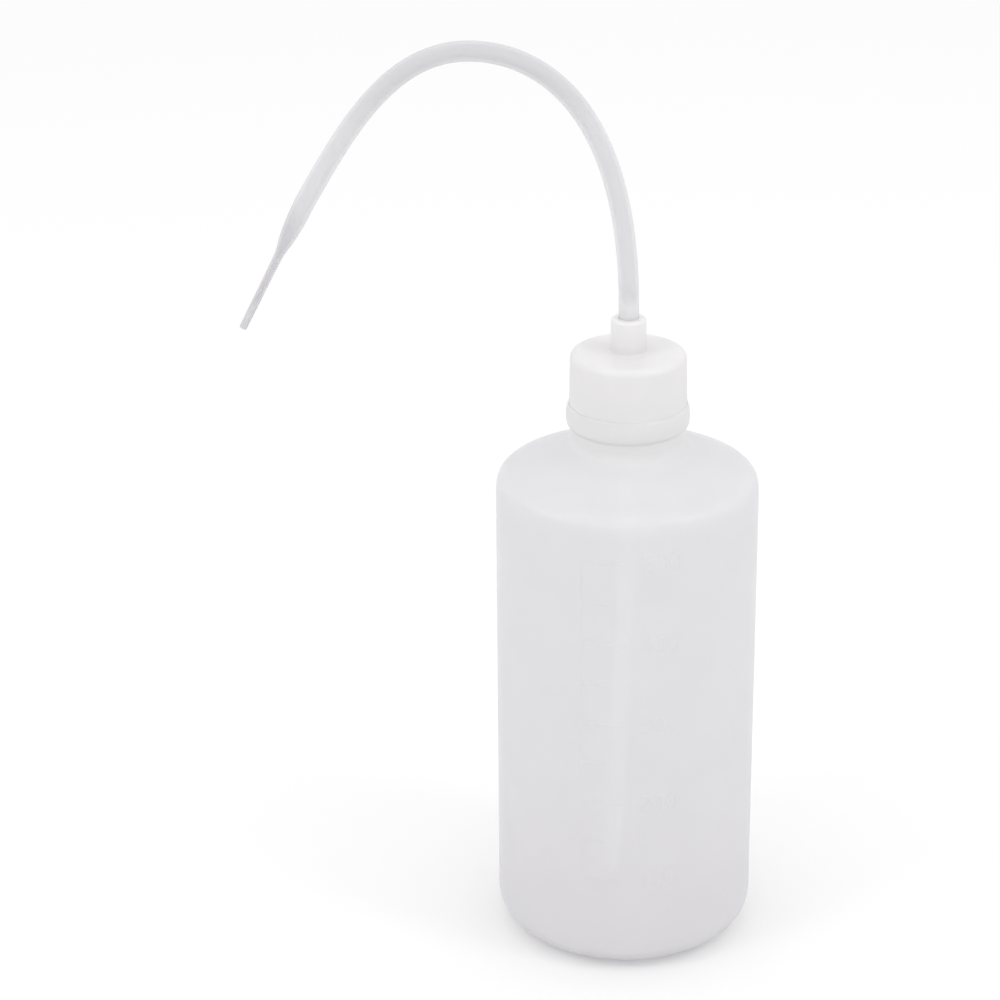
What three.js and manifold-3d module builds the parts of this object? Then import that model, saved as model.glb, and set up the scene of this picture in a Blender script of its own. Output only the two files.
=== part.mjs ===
// Laboratory wash bottle, nominal 500 ml, all in natural low-density polyethylene.
// Millimetres, +Z up. The origin is on the bottle's axis, in the plane it stands on.
// A blow-moulded bottle takes a screw cap with a sealing washer. The cap holds two tubes:
// a straight dip tube below and a bent delivery tube with a drawn tip above, which swivels.

import * as THREE from 'three';
import { mergeVertices } from 'three/addons/utils/BufferGeometryUtils.js';
import Module from 'manifold-3d';

// Bottle body
const BODY_RADIUS = 37;
const BODY_WALL = 1.1;
const BASE_EDGE_RADIUS = 9.6;
const SHOULDER_START_Z = 133.7;
const SHOULDER_CREST_RADIUS = 30.4;
const SHOULDER_CREST_Z = 142.6;
const SHOULDER_TOP_RADIUS = 19;
const SHOULDER_TOP_Z = 148.3;

// Handles of the shoulder's two curves, as [radius, height] steps from their end points
const SHOULDER_START_HANDLE = [0, 6.5];
const CREST_OUTER_HANDLE = [5.7, -1.9];
const CREST_INNER_HANDLE = [-4, 1.35];
const SHOULDER_TOP_HANDLE = [3.2, -1.5];

// Bottle neck, bead and finish
const NECK_RADIUS = 15.95;
const NECK_WALL = 1.5;
const NECK_FILLET_Z = 149.7;
const NECK_BASE_Z = 152;
const BEAD_BOTTOM_Z = 155;
const BEAD_TOP_Z = 161.2;
const BEAD_TOP_RADIUS = 16.5;
const BEAD_LOWER_HANDLE = [17.6, 155.2];
const BEAD_UPPER_HANDLE = [17.5, 160.6];
const BORE_NARROWS_Z = 158;
const BORE_NARROW_Z = 162;
const FINISH_RADIUS = 13.3;
const MOUTH_RADIUS = 11.5;
const MOUTH_Z = 173.2;

// Screw thread, right-handed, shared by the bottle and the cap
const THREAD_PITCH = 3.2;
const THREAD_ROOT_WIDTH = 1.7;
const THREAD_CREST_WIDTH = 0.8;
const THREAD_SINK = 0.6;
const THREAD_FADE = 6;
const THREAD_END_STAND = 0.15;
const BOTTLE_THREAD_CREST = 14.5;
const BOTTLE_THREAD_TURNS = 1.5;
const BOTTLE_THREAD_START_Z = 165.6;
const CAP_THREAD_CREST = 13.75;
const CAP_THREAD_TURNS = 1.25;

// Cap, with its own zero at the lower edge of the skirt
const CAP_BASE_Z = 161.5;
const CAP_HEIGHT = 15.1;
const CAP_BOTTOM_RADIUS = 16.35;
const CAP_TOP_RADIUS = 16.15;
const CAP_EDGE_RADIUS = 2.1;
const CAP_BORE_RADIUS = 14.9;
const CAP_TOP_THICKNESS = 1.6;
const BOSS_RADIUS = 4.9;
const BOSS_HEIGHT = 9.8;
const BOSS_EDGE_RADIUS = 0.9;
const BOSS_FILLET = 0.8;
const SOCKET_RADIUS = 4.3;
const SOCKET_BOTTOM = -3.5;
const TUBE_STOP_LOW = 9.1;
const TUBE_STOP_HIGH = 10.5;
const TUBE_STOP_RADIUS = 1.7;

// Sealing washer, a flat ring between the cap's roof and the bottle's mouth
const WASHER_INNER_RADIUS = 11.6;
const WASHER_OUTER_RADIUS = 14.6;
const WASHER_THICKNESS = 1.2;

// Tubes
const FIT_GAP = 0.3;
const DELIVERY_RADIUS = 2.8;
const DELIVERY_BORE_RADIUS = 1.9;
const DIP_RADIUS = 2.4;
const DIP_BORE_RADIUS = 1.6;
const DIP_END_Z = 14.4;
const DIP_BEND_Z = 150;
const DIP_DRIFT = -3.5;

// Delivery tube's bend, in the plane Y = 0
const RISE_Z = 189;
const RISE_REACH = 54.5;
const CREST_X = -43.5;
const CREST_Z = 261.8;
const CREST_REACH_UP = 21.3;
const CREST_REACH_DOWN = 20.8;
const TAPER_X = -87.9;
const TAPER_Z = 220.1;
const TAPER_REACH = 22.9;
const TAPER_SLOPE_DEG = 60;
const TIP_SLOPE_DEG = 63.2;

// Drawn tip, as [radius, distance along the tip] from where it begins to narrow
const TIP_OVERLAP = 1.5;
const TIP_OUTSIDE = [
  [2.8, 0], [2.72, 4], [2.5, 8], [2.1, 11.5], [1.6, 14.2], [1.28, 16.2], [1.2, 19], [1.05, 40.1],
];
const TIP_BORE = [[1.9, 4], [1.2, 12], [0.65, 17], [0.6, 40.1]];

const ROUND_SEGMENTS = 40;
const TUBE_SIDES = 12;
const DELIVERY_STEPS = 38;
const DIP_STEPS = 12;

const wasm = await Module();
wasm.setup();

// ---------- helpers ----------

// A closed solid of revolution about Z from a profile of (radius, height) points.
function revolve(points, segments = ROUND_SEGMENTS) {
  const geometry = new THREE.LatheGeometry(points, segments);
  geometry.rotateX(Math.PI / 2);
  return cleaned(geometry);
}

// Only positions are kept, with shared vertices merged, so that the surface is closed.
// Triangles that have shrunk to a line, as where a lathe meets its axis, are dropped.
function cleaned(geometry) {
  geometry.deleteAttribute('normal');
  geometry.deleteAttribute('uv');
  const merged = mergeVertices(geometry, 1e-4);
  const kept = [];
  for (let i = 0; i < merged.index.count; i += 3) {
    const [a, b, c] = [0, 1, 2].map((corner) => merged.index.getX(i + corner));
    if (a !== b && b !== c && c !== a) kept.push(a, b, c);
  }
  merged.setIndex(kept);
  return merged;
}

function toSolid(geometry) {
  const mesh = new wasm.Mesh({
    numProp: 3,
    vertProperties: new Float32Array(geometry.attributes.position.array),
    triVerts: new Uint32Array(geometry.index.array),
  });
  return new wasm.Manifold(mesh);
}

function toGeometry(solid) {
  const mesh = solid.getMesh();
  const geometry = new THREE.BufferGeometry();
  geometry.setAttribute('position', new THREE.BufferAttribute(mesh.vertProperties, 3));
  geometry.setIndex(new THREE.BufferAttribute(mesh.triVerts, 1));
  return geometry;
}

function joined(...geometries) {
  const solids = geometries.map(toSolid);
  return toGeometry(solids.reduce((whole, next) => whole.add(next)));
}

function plastic(color, roughness) {
  return new THREE.MeshStandardMaterial({ color, roughness, metalness: 0 });
}

function named(name, geometry, material) {
  const shaded = geometry.toNonIndexed();
  shaded.computeVertexNormals();
  const mesh = new THREE.Mesh(shaded, material);
  mesh.name = name;
  return mesh;
}

// A screw thread: a bar with a tapered section, wound round Z. In the first and last sixth of
// a turn its crest fades into the wall that it stands on. The crest is outside the root on
// the bottle and inside it in the cap.
function thread({ root, crest, startZ, turns }) {
  const outward = Math.sign(crest - root);
  const foot = root - outward * THREAD_SINK;
  const section = new THREE.Shape([
    new THREE.Vector2(-THREAD_ROOT_WIDTH / 2, foot),
    new THREE.Vector2(-THREAD_CREST_WIDTH / 2, crest),
    new THREE.Vector2(THREAD_CREST_WIDTH / 2, crest),
    new THREE.Vector2(THREAD_ROOT_WIDTH / 2, foot),
  ]);
  const steps = Math.round(turns * ROUND_SEGMENTS / 2);
  const bar = new THREE.ExtrudeGeometry(section, { depth: 1, steps, bevelEnabled: false });
  const position = bar.attributes.position;
  for (let i = 0; i < position.count; i += 1) {
    const along = position.getZ(i);
    const angle = along * turns * 2 * Math.PI;
    const fade = Math.min(1, Math.min(along, 1 - along) * turns * THREAD_FADE);
    const stand = THREAD_END_STAND + (1 - THREAD_END_STAND) * fade;
    const radius = foot + (position.getY(i) - foot) * stand;
    const height = startZ + position.getX(i) + THREAD_PITCH * along * turns;
    position.setXYZ(i, radius * Math.cos(angle), radius * Math.sin(angle), height);
  }
  return cleaned(bar);
}

// ---------- bottle ----------

// Half outline of the bottle from its base to its shoulder's top, moved inward by inset.
function bodyOutline(inset) {
  const outline = new THREE.Path();
  const edge = BASE_EDGE_RADIUS - inset;
  const start = [BODY_RADIUS - inset, SHOULDER_START_Z];
  const crest = [SHOULDER_CREST_RADIUS, SHOULDER_CREST_Z - inset];
  const top = [SHOULDER_TOP_RADIUS, SHOULDER_TOP_Z - inset];
  const handle = (end, step) => [end[0] + step[0], end[1] + step[1]];
  outline.moveTo(0, inset);
  outline.lineTo(BODY_RADIUS - BASE_EDGE_RADIUS, inset);
  outline.absarc(BODY_RADIUS - BASE_EDGE_RADIUS, BASE_EDGE_RADIUS, edge, -Math.PI / 2, 0);
  outline.lineTo(...start);
  outline.bezierCurveTo(
    ...handle(start, SHOULDER_START_HANDLE), ...handle(crest, CREST_OUTER_HANDLE), ...crest,
  );
  outline.bezierCurveTo(
    ...handle(crest, CREST_INNER_HANDLE), ...handle(top, SHOULDER_TOP_HANDLE), ...top,
  );
  return outline;
}

function bottleShell() {
  const outer = bodyOutline(0);
  outer.quadraticCurveTo(NECK_RADIUS, NECK_FILLET_Z, NECK_RADIUS, NECK_BASE_Z);
  outer.lineTo(NECK_RADIUS, BEAD_BOTTOM_Z);
  outer.bezierCurveTo(
    ...BEAD_LOWER_HANDLE, ...BEAD_UPPER_HANDLE, BEAD_TOP_RADIUS, BEAD_TOP_Z,
  );
  outer.lineTo(FINISH_RADIUS, BEAD_TOP_Z);
  outer.lineTo(FINISH_RADIUS, MOUTH_Z);
  outer.lineTo(MOUTH_RADIUS, MOUTH_Z);

  const inner = bodyOutline(BODY_WALL);
  const neckBore = NECK_RADIUS - NECK_WALL;
  inner.quadraticCurveTo(neckBore, SHOULDER_TOP_Z, neckBore, NECK_BASE_Z);
  inner.lineTo(neckBore, BORE_NARROWS_Z);
  inner.lineTo(MOUTH_RADIUS, BORE_NARROW_Z);

  return revolve([...outer.getPoints(4), ...inner.getPoints(3).reverse()]);
}

function bottle() {
  const outsideThread = thread({
    root: FINISH_RADIUS,
    crest: BOTTLE_THREAD_CREST,
    startZ: BOTTLE_THREAD_START_Z,
    turns: BOTTLE_THREAD_TURNS,
  });
  return named('bottle', joined(bottleShell(), outsideThread), plastic(0xe3e5ea, 0.45));
}

// ---------- cap ----------

// Half section of the cap: skirt, roof, boss above and socket below, one closed loop.
function capShell() {
  const roof = CAP_HEIGHT - CAP_TOP_THICKNESS;
  const bossTop = CAP_HEIGHT + BOSS_HEIGHT;
  const boreAbove = DELIVERY_RADIUS + FIT_GAP;
  const boreBelow = DIP_RADIUS + FIT_GAP;
  const section = new THREE.Path();
  section.moveTo(CAP_BORE_RADIUS, 0);
  section.lineTo(CAP_BOTTOM_RADIUS, 0);
  section.lineTo(CAP_TOP_RADIUS, CAP_HEIGHT - CAP_EDGE_RADIUS);
  section.absarc(CAP_TOP_RADIUS - CAP_EDGE_RADIUS, CAP_HEIGHT - CAP_EDGE_RADIUS,
    CAP_EDGE_RADIUS, 0, Math.PI / 2);
  section.lineTo(BOSS_RADIUS + BOSS_FILLET, CAP_HEIGHT);
  section.quadraticCurveTo(BOSS_RADIUS, CAP_HEIGHT, BOSS_RADIUS, CAP_HEIGHT + BOSS_FILLET);
  section.lineTo(BOSS_RADIUS, bossTop - BOSS_EDGE_RADIUS);
  section.absarc(BOSS_RADIUS - BOSS_EDGE_RADIUS, bossTop - BOSS_EDGE_RADIUS,
    BOSS_EDGE_RADIUS, 0, Math.PI / 2);
  section.lineTo(boreAbove, bossTop);
  section.lineTo(boreAbove, TUBE_STOP_HIGH);
  section.lineTo(TUBE_STOP_RADIUS, TUBE_STOP_HIGH);
  section.lineTo(TUBE_STOP_RADIUS, TUBE_STOP_LOW);
  section.lineTo(boreBelow, TUBE_STOP_LOW);
  section.lineTo(boreBelow, SOCKET_BOTTOM);
  section.lineTo(SOCKET_RADIUS, SOCKET_BOTTOM);
  section.lineTo(SOCKET_RADIUS, roof);
  section.lineTo(CAP_BORE_RADIUS, roof);
  section.lineTo(CAP_BORE_RADIUS, 0);
  return revolve(section.getPoints(3));
}

function screwCap() {
  // The cap's thread runs half a pitch below the bottle's, in the same helix.
  const insideThread = thread({
    root: CAP_BORE_RADIUS,
    crest: CAP_THREAD_CREST,
    startZ: BOTTLE_THREAD_START_Z - CAP_BASE_Z - THREAD_PITCH / 2,
    turns: CAP_THREAD_TURNS,
  });
  return named('screw_cap', joined(capShell(), insideThread), plastic(0xeceaeb, 0.4));
}

function sealingWasher() {
  const top = CAP_HEIGHT - CAP_TOP_THICKNESS - FIT_GAP;
  const ring = new THREE.Path();
  ring.moveTo(WASHER_INNER_RADIUS, top - WASHER_THICKNESS);
  ring.lineTo(WASHER_OUTER_RADIUS, top - WASHER_THICKNESS);
  ring.lineTo(WASHER_OUTER_RADIUS, top);
  ring.lineTo(WASHER_INNER_RADIUS, top);
  ring.lineTo(WASHER_INNER_RADIUS, top - WASHER_THICKNESS);
  return named('sealing_washer', revolve(ring.getPoints()), plastic(0xf2f2f2, 0.6));
}

// ---------- tubes ----------

function tubeSection(radius, bore) {
  const section = new THREE.Shape();
  section.absarc(0, 0, radius, 0, 2 * Math.PI);
  const hole = new THREE.Path();
  hole.absarc(0, 0, bore, 0, 2 * Math.PI);
  section.holes.push(hole);
  return section;
}

function tubeAlong(route, radius, bore, steps) {
  const geometry = new THREE.ExtrudeGeometry(tubeSection(radius, bore), {
    steps,
    curveSegments: TUBE_SIDES / 2,
    extrudePath: route,
    bevelEnabled: false,
  });
  return cleaned(geometry);
}

// The delivery tube rises from its stop in the boss, arches over and slopes down to its taper.
function deliveryRoute() {
  const slope = THREE.MathUtils.degToRad(TAPER_SLOPE_DEG);
  const route = new THREE.CurvePath();
  const foot = new THREE.Vector3(0, 0, CAP_BASE_Z + TUBE_STOP_HIGH + FIT_GAP);
  const rise = new THREE.Vector3(0, 0, RISE_Z);
  const crest = new THREE.Vector3(CREST_X, 0, CREST_Z);
  const taper = new THREE.Vector3(TAPER_X, 0, TAPER_Z);
  const back = new THREE.Vector3(Math.cos(slope), 0, Math.sin(slope));
  route.add(new THREE.LineCurve3(foot, rise));
  route.add(new THREE.CubicBezierCurve3(
    rise, rise.clone().setZ(RISE_Z + RISE_REACH),
    crest.clone().setX(CREST_X + CREST_REACH_UP), crest,
  ));
  route.add(new THREE.CubicBezierCurve3(
    crest, crest.clone().setX(CREST_X - CREST_REACH_DOWN),
    taper.clone().addScaledVector(back, TAPER_REACH), taper,
  ));
  return route;
}

// The drawn tip: the tube necks down to a fine straight nozzle, which points along -Z here.
function drawnTip() {
  const outside = [[DELIVERY_RADIUS, -TIP_OVERLAP], ...TIP_OUTSIDE];
  const inside = [[DELIVERY_BORE_RADIUS, -TIP_OVERLAP], ...TIP_BORE];
  const loop = [...inside, ...outside.reverse(), inside[0]];
  const points = loop.map(([radius, distance]) => new THREE.Vector2(radius, -distance));
  const tip = revolve(points, TUBE_SIDES);
  tip.rotateY(Math.PI / 2 - THREE.MathUtils.degToRad(TIP_SLOPE_DEG));
  tip.translate(TAPER_X, 0, TAPER_Z);
  return tip;
}

function deliveryTube() {
  const bend = tubeAlong(deliveryRoute(), DELIVERY_RADIUS, DELIVERY_BORE_RADIUS, DELIVERY_STEPS);
  return named('delivery_tube', joined(bend, drawnTip()), plastic(0xdadbe3, 0.35));
}

// The dip tube hangs from its socket and drifts a little off the axis on its way down.
function dipTube() {
  const top = new THREE.Vector3(0, 0, CAP_BASE_Z + TUBE_STOP_LOW - FIT_GAP);
  const bend = new THREE.Vector3(0, 0, DIP_BEND_Z);
  const middle = new THREE.Vector3(0, 0, (DIP_BEND_Z + DIP_END_Z) / 2);
  const end = new THREE.Vector3(DIP_DRIFT, 0, DIP_END_Z);
  const route = new THREE.CurvePath();
  route.add(new THREE.LineCurve3(top, bend));
  route.add(new THREE.QuadraticBezierCurve3(bend, middle, end));
  return named('dip_tube', tubeAlong(route, DIP_RADIUS, DIP_BORE_RADIUS, DIP_STEPS),
    plastic(0xe0e1e8, 0.35));
}

// ---------- assembly ----------

const washBottle = new THREE.Group();
washBottle.add(bottle());

const capUnit = new THREE.Group();
capUnit.position.z = CAP_BASE_Z;
capUnit.add(screwCap(), sealingWasher());
washBottle.add(capUnit);

const tubes = new THREE.Group();
tubes.add(dipTube(), deliveryTube());
washBottle.add(tubes);

export default washBottle;
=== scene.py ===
"""Looks of a laboratory wash bottle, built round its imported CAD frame.

Shapes are written in millimetres and made in metres. Every piece is a closed mesh with its real
wall, thread, bore and moulded marks, and stands for its CAD node.
"""

import math

import bmesh
import bpy
from mathutils import Matrix, Vector


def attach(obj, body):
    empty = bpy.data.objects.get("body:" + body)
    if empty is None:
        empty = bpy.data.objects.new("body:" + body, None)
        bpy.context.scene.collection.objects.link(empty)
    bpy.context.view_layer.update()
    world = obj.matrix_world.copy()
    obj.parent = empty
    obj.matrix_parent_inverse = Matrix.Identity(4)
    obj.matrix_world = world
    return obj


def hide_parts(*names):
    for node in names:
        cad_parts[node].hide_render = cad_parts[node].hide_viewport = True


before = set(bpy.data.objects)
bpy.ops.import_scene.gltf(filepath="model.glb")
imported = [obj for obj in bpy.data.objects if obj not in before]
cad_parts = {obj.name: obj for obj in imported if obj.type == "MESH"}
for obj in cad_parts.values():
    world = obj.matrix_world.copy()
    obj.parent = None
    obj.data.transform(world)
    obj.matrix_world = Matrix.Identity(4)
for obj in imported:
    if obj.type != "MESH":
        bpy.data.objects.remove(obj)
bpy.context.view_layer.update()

MM = 0.001

# Bottle: body and shoulder, as (radius, height). A pull is how far a curve's handle is from the
# curve's end, and a handle is given by its own place.
BODY_RADIUS = 36.88
WALL = 1.1
BASE_EDGE = 9.6
SHOULDER_START = 133.7
SHOULDER_PULL = 6.5
SHOULDER_CREST = (30.4, 142.6)
CREST_OUTER_PULL = (5.7, 1.9)
CREST_INNER_PULL = (4.0, 1.35)
SHOULDER_TOP = (19.0, 148.3)
TOP_PULL = (3.2, 1.5)

# Underside: a push-up inside a standing ring. The first two handles are at the push-up's height.
PUSH_UP = 1.8
PUSH_UP_HANDLES = (9.0, 20.0)
PUSH_UP_EDGE = (23.4, 0.9)
RING_HANDLE = (24.6, 0.35)
RING_INSIDE = 25.2

# Neck, the bead that the cap's edge stands on, and the finish with its mouth. The bead goes from
# its root to its top by two handles, and a low lip on it closes on the cap's edge.
NECK_RADIUS = 15.95
NECK_WALL = 1.5
NECK_FILLET = 149.7
NECK_BASE = 152.0
BEAD_BOTTOM = 155.0
BEAD_ROOT = (0.3, 0.05)
BEAD_HANDLES = ((17.6, 155.2), (17.45, 160.4))
BEAD_TOP = (16.5, 161.45)
LIP_RISE = 0.15
LIP_OVERLAP = 0.02
FINISH_RADIUS = 13.3
THROAT = (158.0, 160.0, 162.4)
MOUTH_RADIUS = 11.5
MOUTH_Z = 173.2
MOUTH_EDGE = 0.5
FILLET = 0.4

# Screw thread. It runs out at each end over a part of a turn.
PITCH = 3.2
THREAD_ROOT = 1.7
THREAD_CREST = 0.8
RUN_OUTS_PER_TURN = 6
BOTTLE_THREAD_START = 165.6
BOTTLE_THREAD_TURNS = 1.5
BOTTLE_THREAD_STAND = 1.2
BOTTLE_THREAD_BAND = (BEAD_TOP[1] + 0.5, MOUTH_Z - 0.4)
CAP_THREAD_TURNS = 1.25
CAP_THREAD_STAND = 1.15
ON_SURFACE = 0.01

# Cap. Its heights are from its lower edge.
CAP_Z = 161.5
CAP_HEIGHT = 15.1
CAP_BOTTOM_RADIUS = 16.35
CAP_TOP_RADIUS = 16.15
CAP_EDGE = 2.1
CAP_LIP = 0.01
CAP_BORE = 14.9
CAP_MOUTH_EDGE = 0.35
CAP_ROOF = 13.5
CAP_THREAD_BAND = (0.4, CAP_ROOF - 0.5)
BOSS_RADIUS = 4.9
BOSS_HEIGHT = 9.8
BOSS_EDGE = 0.9
BOSS_FILLET = 0.8
SOCKET_RADIUS = 4.3
SOCKET_BOTTOM = -3.5
SOCKET_CHAMFER = 0.2
SOCKET_EDGE = 0.3
TUBE_STOP = (9.1, 10.5)
TUBE_STOP_RADIUS = 1.7

# Washer, with heights from the cap's lower edge
WASHER_RADII = (11.6, 14.6)
WASHER_HEIGHTS = (12.0, 13.2)
WASHER_EDGE = 0.25

# Tubes. Places are (x, z) in the plane Y = 0. A reach is how far a handle is from its end, and
# the tables give a radius by the distance along the tip. A cut end's edge is rounded, by at most
# a share of its wall.
FIT_GAP = 0.3
GRIP_GAP = 0.04
GRIP_DEPTH = 2.0
GRIP_STEP = 0.5
DELIVERY_RADIUS = 2.8
DELIVERY_BORE = 1.9
DIP_RADIUS = 2.4
DIP_BORE = 1.6
RISE_Z = 189.0
RISE_REACH = 54.5
CREST = (-43.5, 261.78)
CREST_REACH = (21.3, 20.8)
TAPER = (-87.9, 220.1)
TAPER_REACH = 22.9
TAPER_SLOPE = math.radians(60)
TIP_SLOPE = math.radians(63.2)
TIP_LENGTH = 40.1
TIP_OUTSIDE = [
    (0, DELIVERY_RADIUS), (4, 2.72), (8, 2.5), (11.5, 2.1), (14.2, 1.6), (16.2, 1.28), (19, 1.2),
    (TIP_LENGTH, 1.05),
]
TIP_BORE = [(0, DELIVERY_BORE), (4, DELIVERY_BORE), (12, 1.2), (17, 0.65), (TIP_LENGTH, 0.6)]
CUT_EDGE = 0.25
CUT_EDGE_SHARE = 0.4
DIP_TOP_Z = 170.3
DIP_BEND_Z = 150.0
DIP_END = (-3.5, 14.4)

# Numbers of points round a turned piece and round a tube, and the angle that stays a sharp edge
ROUND = 240
WASHER_ROUND = 96
TUBE_ROUND = 40
SHARP = math.radians(38)
ON_AXIS = 1e-6


# ---------- outlines ----------

def straight(a, b, n=1):
    return [tuple(p + (q - p) * i / n for p, q in zip(a, b)) for i in range(1, n + 1)]


def arc(centre, radius, start, end, n):
    steps = [start + (end - start) * i / n for i in range(1, n + 1)]
    return [(centre[0] + radius * math.cos(a), centre[1] + radius * math.sin(a)) for a in steps]


def cubic(a, b, c, d, n):
    out = []
    for i in range(1, n + 1):
        t = i / n
        s = 1 - t
        out.append(tuple(s**3 * p + 3 * s * s * t * q + 3 * s * t * t * r + t**3 * u
                         for p, q, r, u in zip(a, b, c, d)))
    return out


def quadratic(a, b, c, n):
    out = []
    for i in range(1, n + 1):
        t = i / n
        s = 1 - t
        out.append(tuple(s * s * p + 2 * s * t * q + t * t * r for p, q, r in zip(a, b, c)))
    return out


def smooth_table(table, x):
    """A monotone smooth curve through a table of (x, y)."""
    if x <= table[0][0]:
        return table[0][1]
    if x >= table[-1][0]:
        return table[-1][1]
    slopes = [(b[1] - a[1]) / (b[0] - a[0]) for a, b in zip(table, table[1:])]
    ends = [slopes[0]]
    for p, q in zip(slopes, slopes[1:]):
        ends.append(0 if p * q <= 0 else 2 * p * q / (p + q))
    ends.append(slopes[-1])
    for i, (a, b) in enumerate(zip(table, table[1:])):
        if x <= b[0]:
            h = b[0] - a[0]
            t = (x - a[0]) / h
            return ((2 * t**3 - 3 * t**2 + 1) * a[1] + (t**3 - 2 * t**2 + t) * h * ends[i]
                    + (3 * t**2 - 2 * t**3) * b[1] + (t**3 - t**2) * h * ends[i + 1])


# ---------- meshes ----------

def piece(name, points, faces):
    """A mesh object from points in mm."""
    mesh = bpy.data.meshes.new(name)
    mesh.from_pydata([Vector(p) * MM for p in points], [], faces)
    mesh.validate()
    mesh.shade_smooth()
    mesh.set_sharp_from_angle(angle=SHARP)
    obj = bpy.data.objects.new(name, mesh)
    bpy.context.scene.collection.objects.link(obj)
    return obj


def lathe(loop, segments=ROUND, relief=None):
    """Points and faces of a solid of revolution. The loop of (radius, height) goes round the
    section anticlockwise, and may start and end on the axis. relief(radius, height, angle)
    gives how far a point stands out from its radius."""
    points, faces, rings = [], [], []
    for r, z in loop:
        first = len(points)
        if r < ON_AXIS:
            points.append((0, 0, z))
            rings.append([first] * segments)
            continue
        for i in range(segments):
            angle = 2 * math.pi * i / segments
            rr = r + (relief(r, z, angle) if relief else 0)
            points.append((rr * math.cos(angle), rr * math.sin(angle), z))
        rings.append(list(range(first, first + segments)))
    pairs = list(zip(rings, rings[1:]))
    if loop[0][0] > ON_AXIS:
        pairs.append((rings[-1], rings[0]))
    for low, high in pairs:
        for i in range(segments):
            j = (i + 1) % segments
            corners = [low[i], low[j], high[j], high[i]]
            kept = [c for k, c in enumerate(corners) if c != corners[k - 1]]
            if len(kept) > 2:
                faces.append(kept)
    return points, faces


def tube(route, radius, bore, segments=TUBE_ROUND):
    """Points and faces of a tube along a route in the plane Y = 0. radius and bore are functions
    of the distance along the route. Each cut end has three rings round its outer edge, and two
    at its bore."""
    route = [Vector((x, 0, z)) for x, z in route]
    reached = [0.0]
    for a, b in zip(route, route[1:]):
        reached.append(reached[-1] + (b - a).length)
    rows = []
    last = len(route) - 1
    for i, p in enumerate(route):
        t = (route[min(i + 1, last)] - route[max(i - 1, 0)]).normalized()
        side = Vector((t.z, 0, -t.x))
        rows.append((p, t, side, radius(reached[i]), bore(reached[i])))
    rings = []

    def ring(row, r, shift=0.0):
        p, t, side, _, _ = row
        angles = [2 * math.pi * k / segments for k in range(segments)]
        rings.append([p + t * shift + (side * math.cos(a) + Vector((0, 1, 0)) * math.sin(a)) * r
                      for a in angles])

    first, end = rows[0], rows[-1]
    for row in rows[1:-1]:
        ring(row, row[3])
    lip = min(CUT_EDGE, (end[3] - end[4]) * CUT_EDGE_SHARE)
    ring(end, end[3], -lip)
    ring(end, end[3] - lip * 0.3, -lip * 0.3)
    ring(end, end[3] - lip)
    ring(end, end[4] + lip * 0.5)
    ring(end, end[4], -lip * 0.5)
    for row in reversed(rows[1:-1]):
        ring(row, row[4])
    lip = min(CUT_EDGE, (first[3] - first[4]) * CUT_EDGE_SHARE)
    ring(first, first[4], lip * 0.5)
    ring(first, first[4] + lip * 0.5)
    ring(first, first[3] - lip)
    ring(first, first[3] - lip * 0.3, lip * 0.3)
    ring(first, first[3], lip)
    points = [tuple(v) for r in rings for v in r]
    faces = []
    count = len(rings)
    for a in range(count):
        b = (a + 1) % count
        for i in range(segments):
            j = (i + 1) % segments
            faces.append([a * segments + i, b * segments + i, b * segments + j, a * segments + j])
    return points, faces


def outward(obj):
    """Turns every face of a closed mesh outward."""
    bm = bmesh.new()
    bm.from_mesh(obj.data)
    bmesh.ops.recalc_face_normals(bm, faces=bm.faces)
    if bm.calc_volume(signed=True) < 0:
        bmesh.ops.reverse_faces(bm, faces=bm.faces)
    bm.to_mesh(obj.data)
    bm.free()
    return obj


def thread_stand(z, angle, start, turns, stand):
    """How far a screw thread stands out at a height and an angle."""
    best = 0.0
    for lap in range(math.ceil(turns)):
        t = angle / (2 * math.pi) + lap
        if t > turns:
            continue
        off = abs(z - start - PITCH * t)
        slope = (THREAD_ROOT / 2 - off) / ((THREAD_ROOT - THREAD_CREST) / 2)
        fade = min(1.0, min(t, turns - t) * RUN_OUTS_PER_TURN)
        best = max(best, min(1.0, max(0.0, slope)) * fade)
    return best * best * (3 - 2 * best) * stand


# ---------- bottle ----------

def body_outline(inset):
    """Half outline of the body and the shoulder, from the base's edge, moved inward by inset."""
    base = (BODY_RADIUS - BASE_EDGE, BASE_EDGE)
    start = (BODY_RADIUS - inset, SHOULDER_START)
    crest = (SHOULDER_CREST[0], SHOULDER_CREST[1] - inset)
    top = (SHOULDER_TOP[0], SHOULDER_TOP[1] - inset)
    out = arc(base, BASE_EDGE - inset, -math.pi / 2, 0, 20)
    out += straight(out[-1], start, 24)
    leaving = (start[0], start[1] + SHOULDER_PULL)
    arriving = (crest[0] + CREST_OUTER_PULL[0], crest[1] - CREST_OUTER_PULL[1])
    out += cubic(start, leaving, arriving, crest, 24)
    leaving = (crest[0] - CREST_INNER_PULL[0], crest[1] + CREST_INNER_PULL[1])
    arriving = (top[0] + TOP_PULL[0], top[1] - TOP_PULL[1])
    out += cubic(crest, leaving, arriving, top, 14)
    return out


def base_rise(inset):
    """The underside: a shallow push-up inside a standing ring, from the axis outward."""
    high = PUSH_UP + inset
    edge = (PUSH_UP_EDGE[0], PUSH_UP_EDGE[1] + inset)
    out = [(0, high)]
    out += cubic(out[-1], (PUSH_UP_HANDLES[0], high), (PUSH_UP_HANDLES[1], high), edge, 14)
    handle = (RING_HANDLE[0], RING_HANDLE[1] + inset)
    out += cubic(edge, handle, (RING_INSIDE, inset), (BODY_RADIUS - BASE_EDGE, inset), 6)
    return out


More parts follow.
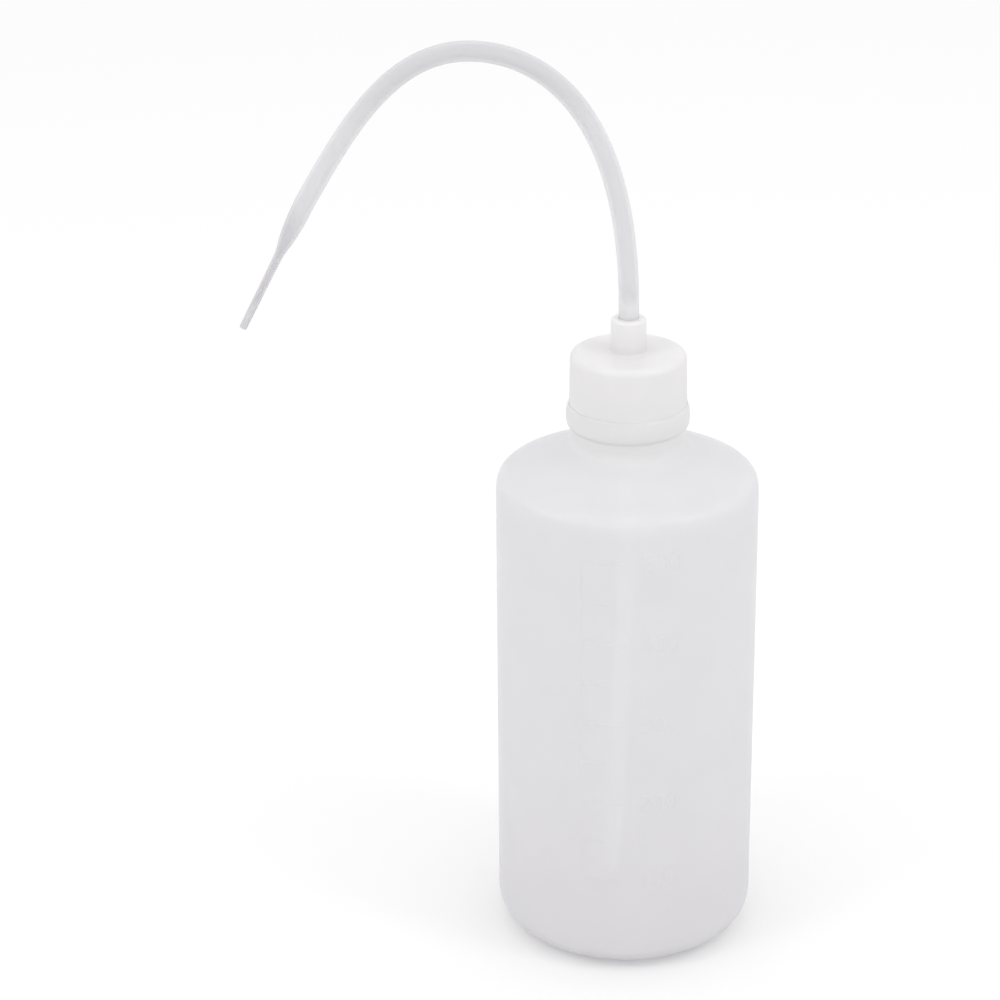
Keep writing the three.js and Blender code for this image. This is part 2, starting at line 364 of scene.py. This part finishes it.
def bottle_loop():
    """The section of the wall: up the outside, over the mouth and down the inside."""
    shelf = BEAD_TOP[1]
    lip = shelf + LIP_RISE
    lip_radius = CAP_BOTTOM_RADIUS - LIP_OVERLAP
    bead_root = (NECK_RADIUS + BEAD_ROOT[0], BEAD_BOTTOM + BEAD_ROOT[1])
    outer = base_rise(0) + body_outline(0)
    outer += quadratic(outer[-1], (NECK_RADIUS, NECK_FILLET), (NECK_RADIUS, NECK_BASE), 12)
    outer += straight(outer[-1], (NECK_RADIUS, BEAD_BOTTOM - FILLET), 3)
    outer += quadratic(outer[-1], (NECK_RADIUS, BEAD_BOTTOM), bead_root, 4)
    outer += cubic(outer[-1], *BEAD_HANDLES, (BEAD_TOP[0], lip), 20)
    outer += straight(outer[-1], (lip_radius, lip), 1)
    outer += straight(outer[-1], (lip_radius, shelf), 1)
    outer += straight(outer[-1], (FINISH_RADIUS + FILLET, shelf), 2)
    outer += quadratic(outer[-1], (FINISH_RADIUS, shelf), (FINISH_RADIUS, shelf + FILLET), 3)
    outer += straight(outer[-1], (FINISH_RADIUS, MOUTH_Z - MOUTH_EDGE), 56)
    outer += arc((FINISH_RADIUS - MOUTH_EDGE, MOUTH_Z - MOUTH_EDGE), MOUTH_EDGE, 0, math.pi / 2, 5)
    outer += straight(outer[-1], (MOUTH_RADIUS + FILLET, MOUTH_Z), 2)
    outer += arc((MOUTH_RADIUS + FILLET, MOUTH_Z - FILLET), FILLET, math.pi / 2, math.pi, 4)
    bore = NECK_RADIUS - NECK_WALL
    low, middle, high = THROAT
    inner = base_rise(WALL) + body_outline(WALL)
    inner += quadratic(inner[-1], (bore, SHOULDER_TOP[1]), (bore, NECK_BASE), 12)
    inner += straight(inner[-1], (bore, low), 3)
    inner += cubic(inner[-1], (bore, middle), (MOUTH_RADIUS, middle), (MOUTH_RADIUS, high), 8)
    return outer + inner[::-1]


def bottle_relief(r, z, angle):
    low, high = BOTTLE_THREAD_BAND
    if abs(r - FINISH_RADIUS) > ON_SURFACE or not low < z < high:
        return 0.0
    return thread_stand(z, angle, BOTTLE_THREAD_START, BOTTLE_THREAD_TURNS, BOTTLE_THREAD_STAND)


bottle = outward(piece("bottle_shell", *lathe(bottle_loop(), relief=bottle_relief)))


# ---------- moulded scale ----------

# Angles in degrees are from the middle of the front, and marks are counted in steps of 100 ml
SCALE_ZERO = 5.7
SCALE_STEP = 24.6
SCALE_LEFT = -22.3
FIRST_MARK = 1
LAST_MARK = 5
FULL_LINE = 12.8
HALF_LINE = 8.0
NUMERAL_LEFT = 4.0
NUMERAL_HEIGHT = 4.6
NUMERAL_WIDTH = 2.8
NUMERAL_PITCH = 4.0
STROKE_WIDTH = 0.6
STROKE_STAND = 0.1

# The section of a stroke, in shares of its width and its height, from foot to foot
STROKE_SECTION = [(-0.5, -0.3), (-0.42, 0.45), (-0.2, 0.9), (0.2, 0.9), (0.42, 0.45), (0.5, -0.3)]


def ribbon(path, width, height, place, closed=False):
    """A rounded raised line along a path of (across, up) in mm, as a closed solid. place maps
    (across, up, out) to a point."""
    points, faces = [], []
    n, count = len(path), len(STROKE_SECTION)
    for i, (u, v) in enumerate(path):
        before = path[(i - 1) % n] if closed or i else path[0]
        after = path[(i + 1) % n] if closed or i < n - 1 else path[-1]
        du, dv = after[0] - before[0], after[1] - before[1]
        size = math.hypot(du, dv) or 1.0
        nu, nv = -dv / size, du / size
        for s, h in STROKE_SECTION:
            points.append(place(u + nu * s * width, v + nv * s * width, h * height))
    for i in range(n if closed else n - 1):
        j = (i + 1) % n
        for k in range(count):
            m = (k + 1) % count
            faces.append([i * count + k, j * count + k, j * count + m, i * count + m])
    if not closed:
        faces.append(list(range(count)))
        faces.append([(n - 1) * count + k for k in reversed(range(count))])
    return points, faces


def on_wall(across, up, out):
    """A point on the front of the body, across mm round from the middle."""
    angle = across / BODY_RADIUS
    r = BODY_RADIUS + out
    return (r * math.sin(angle), -r * math.cos(angle), up)


def stroke(a, b, steps=4):
    return [a] + straight(a, b, steps)


def curve(centre, size, start, end, n=14):
    """An elliptical arc. Angles are in degrees."""
    out = []
    for i in range(n + 1):
        t = math.radians(start + (end - start) * i / n)
        out.append((centre[0] + size[0] * math.cos(t), centre[1] + size[1] * math.sin(t)))
    return out


# Plain upright numerals in a box of width 1 and height 1. Each is a list of strokes, with
# whether the stroke is closed.
NUMERALS = {
    "0": [(True, curve((0.5, 0.5), (0.5, 0.5), 90, 436, 24))],
    "1": [
        (False, stroke((0.5, 1.0), (0.5, 0.0))),
        (False, stroke((0.12, 0.74), (0.5, 0.97))),
    ],
    "2": [
        (False, curve((0.5, 0.7), (0.47, 0.3), 165, -35)),
        (False, stroke((0.885, 0.528), (0.02, 0.0))),
        (False, stroke((0.0, 0.0), (1.0, 0.0))),
    ],
    "3": [
        (False, curve((0.46, 0.745), (0.44, 0.255), 155, -90)),
        (False, curve((0.46, 0.25), (0.54, 0.26), 90, -155, 16)),
    ],
    "4": [
        (False, stroke((0.74, 0.0), (0.74, 1.0))),
        (False, stroke((0.74, 0.98), (0.02, 0.3))),
        (False, stroke((0.0, 0.3), (1.0, 0.3))),
    ],
    "5": [
        (False, curve((0.46, 0.33), (0.5, 0.33), 130, -150, 16)),
        (False, stroke((0.22, 1.0), (0.13, 0.55))),
        (False, stroke((0.2, 1.0), (0.92, 1.0))),
    ],
}


def moulded_marks():
    """The scale's raised strokes, as sets in which no two strokes cross: one set for each stroke
    of a numeral, the first of them with the cross lines too, and one for the upright line."""
    upright = max(len(strokes) for strokes in NUMERALS.values())
    sets = [([], []) for _ in range(upright + 1)]

    def add(number, path, closed=False):
        points, faces = sets[number]
        first = len(points)
        new_points, new_faces = ribbon(path, STROKE_WIDTH, STROKE_STAND, on_wall, closed)
        points.extend(new_points)
        faces.extend([[first + i for i in face] for face in new_faces])

    def add_number(text, z):
        start = math.radians(NUMERAL_LEFT) * BODY_RADIUS
        for place, digit in enumerate(text):
            corner = (start + place * NUMERAL_PITCH, z - NUMERAL_HEIGHT / 2)
            for number, (closed, path) in enumerate(NUMERALS[digit]):
                add(number, [(corner[0] + x * NUMERAL_WIDTH, corner[1] + y * NUMERAL_HEIGHT)
                             for x, y in path], closed)

    left = math.radians(SCALE_LEFT) * BODY_RADIUS
    for half_steps in range(2 * FIRST_MARK, 2 * LAST_MARK + 1):
        z = SCALE_ZERO + SCALE_STEP * half_steps / 2
        full = half_steps % 2 == 0
        add(0, stroke((left, z), (left + (FULL_LINE if full else HALF_LINE), z), 12))
        if full:
            add_number(str(half_steps // 2 * 100), z)
    low, high = SCALE_ZERO + SCALE_STEP * FIRST_MARK, SCALE_ZERO + SCALE_STEP * LAST_MARK
    half_width = STROKE_WIDTH / 2
    add(upright, stroke((left, low - half_width), (left, high + half_width), 24))
    return sets


def join_marks(shell, sets):
    """Joins sets of raised strokes to a shell, so that all are one closed surface."""
    for shape in sets:
        marks = outward(piece("strokes", *shape))
        union = shell.modifiers.new("moulding", "BOOLEAN")
        union.operation = "UNION"
        union.solver = "MANIFOLD"
        union.object = marks
        bpy.context.view_layer.update()
        evaluated = shell.evaluated_get(bpy.context.evaluated_depsgraph_get())
        joined = bpy.data.meshes.new_from_object(evaluated)
        joined.materials.clear()
        shell.modifiers.remove(union)
        shell.data = joined
        bpy.data.objects.remove(marks)
    shell.data.shade_smooth()
    shell.data.set_sharp_from_angle(angle=SHARP)


join_marks(bottle, moulded_marks())


# ---------- cap and washer ----------

def cap_loop():
    """The section of the cap's wall: up the outside, down the boss's bore and the socket, and
    back down the inside of the skirt."""
    roof, top = CAP_ROOF, CAP_HEIGHT + BOSS_HEIGHT
    above, below = DELIVERY_RADIUS + FIT_GAP, DIP_RADIUS + FIT_GAP
    grip = DELIVERY_RADIUS + GRIP_GAP
    out = [(CAP_BORE + CAP_MOUTH_EDGE, 0.0)]
    out += straight(out[-1], (CAP_BOTTOM_RADIUS - CAP_LIP, 0.0), 2)
    out += straight(out[-1], (CAP_BOTTOM_RADIUS, CAP_LIP), 1)
    out += straight(out[-1], (CAP_TOP_RADIUS, CAP_HEIGHT - CAP_EDGE), 8)
    out += arc((CAP_TOP_RADIUS - CAP_EDGE, CAP_HEIGHT - CAP_EDGE), CAP_EDGE, 0, math.pi / 2, 14)
    out += straight(out[-1], (BOSS_RADIUS + BOSS_FILLET, CAP_HEIGHT), 5)
    boss_foot = (BOSS_RADIUS, CAP_HEIGHT + BOSS_FILLET)
    out += quadratic(out[-1], (BOSS_RADIUS, CAP_HEIGHT), boss_foot, 6)
    out += straight(out[-1], (BOSS_RADIUS, top - BOSS_EDGE), 4)
    out += arc((BOSS_RADIUS - BOSS_EDGE, top - BOSS_EDGE), BOSS_EDGE, 0, math.pi / 2, 10)
    out += straight(out[-1], (grip + GRIP_GAP, top), 1)
    out += straight(out[-1], (grip, top - GRIP_GAP), 1)
    out += straight(out[-1], (grip, top - GRIP_DEPTH), 2)
    out += straight(out[-1], (above, top - GRIP_DEPTH - GRIP_STEP), 1)
    out += straight(out[-1], (above, TUBE_STOP[1]), 4)
    out += straight(out[-1], (TUBE_STOP_RADIUS, TUBE_STOP[1]), 1)
    out += straight(out[-1], (TUBE_STOP_RADIUS, TUBE_STOP[0]), 1)
    out += straight(out[-1], (below, TUBE_STOP[0]), 1)
    out += straight(out[-1], (below, SOCKET_BOTTOM + SOCKET_CHAMFER), 4)
    out += straight(out[-1], (below + SOCKET_CHAMFER, SOCKET_BOTTOM), 1)
    out += straight(out[-1], (SOCKET_RADIUS - SOCKET_EDGE, SOCKET_BOTTOM), 1)
    centre = (SOCKET_RADIUS - SOCKET_EDGE, SOCKET_BOTTOM + SOCKET_EDGE)
    out += arc(centre, SOCKET_EDGE, -math.pi / 2, 0, 3)
    out += straight(out[-1], (SOCKET_RADIUS, roof - FILLET), 4)
    out += quadratic(out[-1], (SOCKET_RADIUS, roof), (SOCKET_RADIUS + FILLET, roof), 3)
    out += straight(out[-1], (CAP_BORE - FILLET, roof), 4)
    out += quadratic(out[-1], (CAP_BORE, roof), (CAP_BORE, roof - FILLET), 3)
    out += straight(out[-1], (CAP_BORE, CAP_MOUTH_EDGE), 60)
    return out


def cap_relief(r, z, angle):
    low, high = CAP_THREAD_BAND
    if abs(r - CAP_BORE) > ON_SURFACE or not low < z < high:
        return 0.0
    start = BOTTLE_THREAD_START - CAP_Z - PITCH / 2
    return -thread_stand(z, angle, start, CAP_THREAD_TURNS, CAP_THREAD_STAND)


def lifted(shape, rise):
    points, faces = shape
    return [(x, y, z + rise) for x, y, z in points], faces


cap = outward(piece("cap_shell", *lifted(lathe(cap_loop(), relief=cap_relief), CAP_Z)))


def washer_loop():
    r0, r1 = WASHER_RADII
    z0, z1 = WASHER_HEIGHTS
    edge = WASHER_EDGE
    out = [(r0 + edge, z0)]
    out += straight(out[-1], (r1 - edge, z0), 3)
    out += arc((r1 - edge, z0 + edge), edge, -math.pi / 2, 0, 4)
    out += straight(out[-1], (r1, z1 - edge), 1)
    out += arc((r1 - edge, z1 - edge), edge, 0, math.pi / 2, 4)
    out += straight(out[-1], (r0 + edge, z1), 3)
    out += arc((r0 + edge, z1 - edge), edge, math.pi / 2, math.pi, 4)
    out += straight(out[-1], (r0, z0 + edge), 1)
    out += arc((r0 + edge, z0 + edge), edge, math.pi, 1.5 * math.pi, 4)
    return out[:-1]


washer = outward(piece("washer_ring", *lifted(lathe(washer_loop(), segments=WASHER_ROUND), CAP_Z)))


# ---------- tubes ----------

def delivery_route():
    """Up out of the boss, over the crest and down the straight drawn tip."""
    foot, rise = (0.0, CAP_Z + TUBE_STOP[1] + FIT_GAP), (0.0, RISE_Z)
    before_crest, after_crest = CREST_REACH
    route = [foot] + straight(foot, rise, 10)
    arriving = (CREST[0] + before_crest, CREST[1])
    route += cubic(rise, (0.0, RISE_Z + RISE_REACH), arriving, CREST, 60)
    leaving = (CREST[0] - after_crest, CREST[1])
    arriving = (TAPER[0] + math.cos(TAPER_SLOPE) * TAPER_REACH,
                TAPER[1] + math.sin(TAPER_SLOPE) * TAPER_REACH)
    route += cubic(CREST, leaving, arriving, TAPER, 44)
    end = (TAPER[0] - math.cos(TIP_SLOPE) * TIP_LENGTH, TAPER[1] - math.sin(TIP_SLOPE) * TIP_LENGTH)
    return route + straight(TAPER, end, 50)


def length_of(route):
    return sum(math.dist(a, b) for a, b in zip(route, route[1:]))


spout_route = delivery_route()
taper_at = length_of(spout_route) - TIP_LENGTH
spout = outward(piece("spout_tube", *tube(
    spout_route,
    lambda s: smooth_table(TIP_OUTSIDE, s - taper_at),
    lambda s: smooth_table(TIP_BORE, s - taper_at),
)))

dip_top, dip_bend = (0.0, DIP_TOP_Z), (0.0, DIP_BEND_Z)
dip_route = [dip_top] + straight(dip_top, dip_bend, 6)
dip_route += quadratic(dip_bend, (0.0, (DIP_BEND_Z + DIP_END[1]) / 2), DIP_END, 36)
dip = outward(piece("dip_pipe", *tube(dip_route, lambda s: DIP_RADIUS, lambda s: DIP_BORE)))


# ---------- materials ----------

# The scale per metre and the detail of each noise, and the skin's gloss and relief
CLOUDS = (90, 3)
GLOSS = (260, 4)
GRAIN = (1400, 2)
ROUGHNESS_SPREAD = 0.05
GRAIN_STRENGTH = 0.5
PLASTIC_IOR = 1.51
SKIN_SPECULAR = 0.8


def polyethylene(name, color, see_through, through_light, roughness, mottle=0.012, grain=0.00002,
                 upper=None, fade=None, socket=None, depth=0.0, painted_glow=0.0):
    """Natural polyethylene: a satin skin over milky plastic that lets light through.

    mottle is how far the colour wanders as a share of itself, and grain is the skin's relief in
    metres. upper is where the wall's colour changes: the heights between which it does so, the
    colour above them, and the share that is left there of what the wall lets through. fade is a
    second colour and an axis, with the place where that colour starts to turn into the first and
    the place where it has done so. socket is the heights between which a tube comes out of its
    socket, below which nothing is seen through it. depth is how many mm light spreads inside the
    wall, and painted_glow is a painted glow: light that the wall gives off though it is no lamp.
    """
    material = bpy.data.materials.new(name)
    material.use_nodes = True
    tree = material.node_tree
    tree.nodes.clear()
    new, link = tree.nodes.new, tree.links.new
    where = new("ShaderNodeTexCoord")

    def noise(scale, detail):
        node = new("ShaderNodeTexNoise")
        node.inputs["Scale"].default_value = scale
        node.inputs["Detail"].default_value = detail
        link(where.outputs["Object"], node.inputs["Vector"])
        return node.outputs["Fac"]

    def spread(source, low, high):
        node = new("ShaderNodeMapRange")
        node.inputs["From Min"].default_value = 0.3
        node.inputs["From Max"].default_value = 0.7
        node.inputs["To Min"].default_value = low
        node.inputs["To Max"].default_value = high
        link(source, node.inputs["Value"])
        return node.outputs["Result"]

    def along(axis, start, end, low, high):
        """Goes smoothly from low at start to high at end, both in mm along an axis."""
        place = new("ShaderNodeSeparateXYZ")
        link(where.outputs["Object"], place.inputs["Vector"])
        node = new("ShaderNodeMapRange")
        node.interpolation_type = "SMOOTHSTEP"
        node.inputs["From Min"].default_value = start * MM
        node.inputs["From Max"].default_value = end * MM
        node.inputs["To Min"].default_value = low
        node.inputs["To Max"].default_value = high
        link(place.outputs[axis], node.inputs["Value"])
        return node.outputs["Result"]

    def share(mix, amount):
        """Sets how much of a mix of shaders is the second one."""
        start, end, _, left = upper or (0, 0, None, 1)
        if left == 1:
            mix.inputs["Fac"].default_value = amount
        else:
            link(along("Z", start, end, amount, amount * left), mix.inputs["Fac"])

    def colour_mix(low, high, factor):
        node = new("ShaderNodeMix")
        node.data_type = "RGBA"
        for side, value in (("A", low), ("B", high)):
            if isinstance(value, tuple):
                node.inputs[side].default_value = (*value, 1)
            else:
                link(value, node.inputs[side])
        link(factor, node.inputs["Factor"])
        return node.outputs["Result"]

    clouds = noise(*CLOUDS)

    def clouded(base):
        low = tuple(c * (1 - mottle) for c in base)
        high = tuple(min(1.0, c * (1 + mottle)) for c in base)
        return colour_mix(low, high, spread(clouds, 0, 1))

    tint = clouded(color)
    if fade:
        other, axis, start, end = fade
        tint = colour_mix(clouded(other), tint, along(axis, start, end, 0, 1))
    if upper:
        start, end, other, _ = upper
        tint = colour_mix(tint, clouded(other), along("Z", start, end, 0, 1))

    bump = new("ShaderNodeBump")
    bump.inputs["Strength"].default_value = GRAIN_STRENGTH
    bump.inputs["Distance"].default_value = grain
    link(noise(*GRAIN), bump.inputs["Height"])

    skin = new("ShaderNodeBsdfPrincipled")
    skin.inputs["IOR"].default_value = PLASTIC_IOR
    skin.inputs["Specular IOR Level"].default_value = SKIN_SPECULAR
    # Painted glow: the wall gives off light in its own colour, though it is no lamp.
    skin.inputs["Emission Color"].default_value = (*color, 1)
    skin.inputs["Emission Strength"].default_value = painted_glow
    if depth:
        skin.inputs["Subsurface Weight"].default_value = 1.0
        skin.inputs["Subsurface Radius"].default_value = (1, 1, 1)
        skin.inputs["Subsurface Scale"].default_value = depth * MM
    link(tint, skin.inputs["Base Color"])
    gloss = spread(noise(*GLOSS), roughness - ROUGHNESS_SPREAD, roughness + ROUGHNESS_SPREAD)
    link(gloss, skin.inputs["Roughness"])
    link(bump.outputs["Normal"], skin.inputs["Normal"])

    inside = new("ShaderNodeBsdfTranslucent")
    link(tint, inside.inputs["Color"])
    milk = new("ShaderNodeMixShader")
    share(milk, through_light)
    link(skin.outputs["BSDF"], milk.inputs[1])
    link(inside.outputs["BSDF"], milk.inputs[2])

    clear = new("ShaderNodeBsdfTransparent")
    clear.inputs["Color"].default_value = (*color, 1)
    wall = new("ShaderNodeMixShader")
    if socket:
        link(along("Z", *socket, 0.0, see_through), wall.inputs["Fac"])
    else:
        share(wall, see_through)
    link(milk.outputs["Shader"], wall.inputs[1])
    link(clear.outputs["BSDF"], wall.inputs[2])
    out = new("ShaderNodeOutputMaterial")
    link(wall.outputs["Shader"], out.inputs["Surface"])
    return material


bottle_plastic = polyethylene(
    "bottle_plastic", (0.905, 0.905, 0.913),
    see_through=0.24,
    through_light=0.42,
    roughness=0.34,
    mottle=0.007,
    upper=(147.0, 153.0, (0.903, 0.893, 0.898), 0.6),
    # Darker towards the base, from 125 mm down to 25 mm: painted shade for the light falling off
    # toward the floor.
    fade=((0.897, 0.888, 0.903), "Z", 25.0, 125.0),
    depth=0.3,
)
cap_plastic = polyethylene(
    "cap_plastic", (0.858, 0.846, 0.852),
    see_through=0.0,
    through_light=0.2,
    roughness=0.34,
    # Lighter colour on the boss above the cap's top: painted light, making up for the shade round
    # its foot.
    upper=(177.2, 180.0, (0.885, 0.874, 0.879), 1),
)
tube_plastic = polyethylene(
    "tube_plastic", (0.886, 0.883, 0.893),
    see_through=0.45,
    through_light=0.4,
    roughness=0.36,
    mottle=0.004,
    grain=0.000004,
    upper=(236.0, 256.0, (0.83, 0.825, 0.838), 1),
    fade=((0.785, 0.775, 0.795), "X", -94.0, -88.0),
    socket=(189.5, 195.0),
)
dip_plastic = polyethylene(
    "dip_plastic", (0.95, 0.95, 0.95),
    see_through=0.0,
    through_light=0.3,
    roughness=0.34,
    # The dip tube glows: painted light, so that it shows lighter than the wall behind it.
    painted_glow=0.38,
)
washer_foam = polyethylene(
    "washer_foam", (0.88, 0.88, 0.88),
    see_through=0.0,
    through_light=0.3,
    roughness=0.7,
    mottle=0.03,
    grain=0.0001,
)

# Each piece with its CAD node, its body, its slot and its material
PIECES = [
    (bottle, "bottle", "bottle", "bottle_ldpe", bottle_plastic),
    (cap, "screw_cap", "cap", "cap_ldpe", cap_plastic),
    (washer, "sealing_washer", "washer", "washer_foam", washer_foam),
    (spout, "delivery_tube", "spout", "tube_ldpe", tube_plastic),
    (dip, "dip_tube", "cap", "tube_ldpe", dip_plastic),
]
for obj, node, body, slot, material in PIECES:
    obj.data.materials.append(material)
    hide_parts(node)
    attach(obj, body)


# ---------- floor, light and camera ----------

# Places and sizes are in metres here, angles in degrees, powers in watts, and the lens in mm
FLOOR_HALF = 12.0
FLOOR_DROP = 0.0002
FLOOR_COLOR = (0.76, 0.76, 0.76)
FLOOR_ROUGHNESS = 0.9
FLOOR_GLOW = 0.14
LIGHT_AIM = (0, 0, 0.12)
STUDIO_STRENGTH = 1.06
CAMERA_PLACE = (-0.03576, -0.81014, 0.48197)
CAMERA_DOWN = 23.353
CAMERA_ROLL = -0.485
CAMERA_LENS = 112.94
CAMERA_SENSOR = 36


def floor_paint():
    material = bpy.data.materials.new("floor_white")
    material.use_nodes = True
    shader = material.node_tree.nodes["Principled BSDF"]
    shader.inputs["Base Color"].default_value = (*FLOOR_COLOR, 1)
    shader.inputs["Roughness"].default_value = FLOOR_ROUGHNESS
    shader.inputs["Specular IOR Level"].default_value = 0.0
    shader.inputs["Emission Color"].default_value = (1, 1, 1, 1)
    shader.inputs["Emission Strength"].default_value = FLOOR_GLOW
    return material


corners = [(-FLOOR_HALF, -FLOOR_HALF, 0), (FLOOR_HALF, -FLOOR_HALF, 0),
           (FLOOR_HALF, FLOOR_HALF, 0), (-FLOOR_HALF, FLOOR_HALF, 0)]
floor_mesh = bpy.data.meshes.new("floor")
floor_mesh.from_pydata(corners, [], [(0, 1, 2, 3)])
floor = bpy.data.objects.new("floor", floor_mesh)
floor.location.z = -FLOOR_DROP
floor.data.materials.append(floor_paint())
bpy.context.scene.collection.objects.link(floor)


def softbox(name, azimuth, elevation, distance, size, power):
    """A rectangular light that faces the bottle. Azimuth 0 is the camera's side, 90 the right."""
    light = bpy.data.lights.new(name, "AREA")
    light.shape = "RECTANGLE"
    light.size, light.size_y = size
    light.energy = power
    obj = bpy.data.objects.new(name, light)
    a, e = math.radians(azimuth), math.radians(elevation)
    back = Vector((math.sin(a) * math.cos(e), -math.cos(a) * math.cos(e), math.sin(e)))
    obj.location = Vector(LIGHT_AIM) + back * distance
    obj.rotation_mode = "QUATERNION"
    obj.rotation_quaternion = (-back).to_track_quat("-Z", "Y")
    bpy.context.scene.collection.objects.link(obj)


softbox("soft_right", azimuth=60, elevation=48, distance=0.95, size=(0.22, 0.4), power=0.95)
softbox("soft_left", azimuth=-56, elevation=48, distance=0.95, size=(0.22, 0.4), power=0.8)
softbox("soft_top", azimuth=0, elevation=88, distance=1.5, size=(0.9, 0.9), power=0.8)

scene = bpy.context.scene
world = bpy.data.worlds.new("studio")
world.use_nodes = True
background = world.node_tree.nodes["Background"]
background.inputs["Color"].default_value = (1, 1, 1, 1)
background.inputs["Strength"].default_value = STUDIO_STRENGTH
scene.world = world
scene.view_settings.view_transform = "Standard"

camera_data = bpy.data.cameras.new("camera")
camera_data.lens = CAMERA_LENS
camera_data.sensor_width = CAMERA_SENSOR
camera = bpy.data.objects.new("camera", camera_data)
camera.matrix_world = (Matrix.Translation(CAMERA_PLACE)
                       @ Matrix.Rotation(math.radians(90 - CAMERA_DOWN), 4, "X")
                       @ Matrix.Rotation(math.radians(CAMERA_ROLL), 4, "Z"))
scene.collection.objects.link(camera)
scene.camera = camera
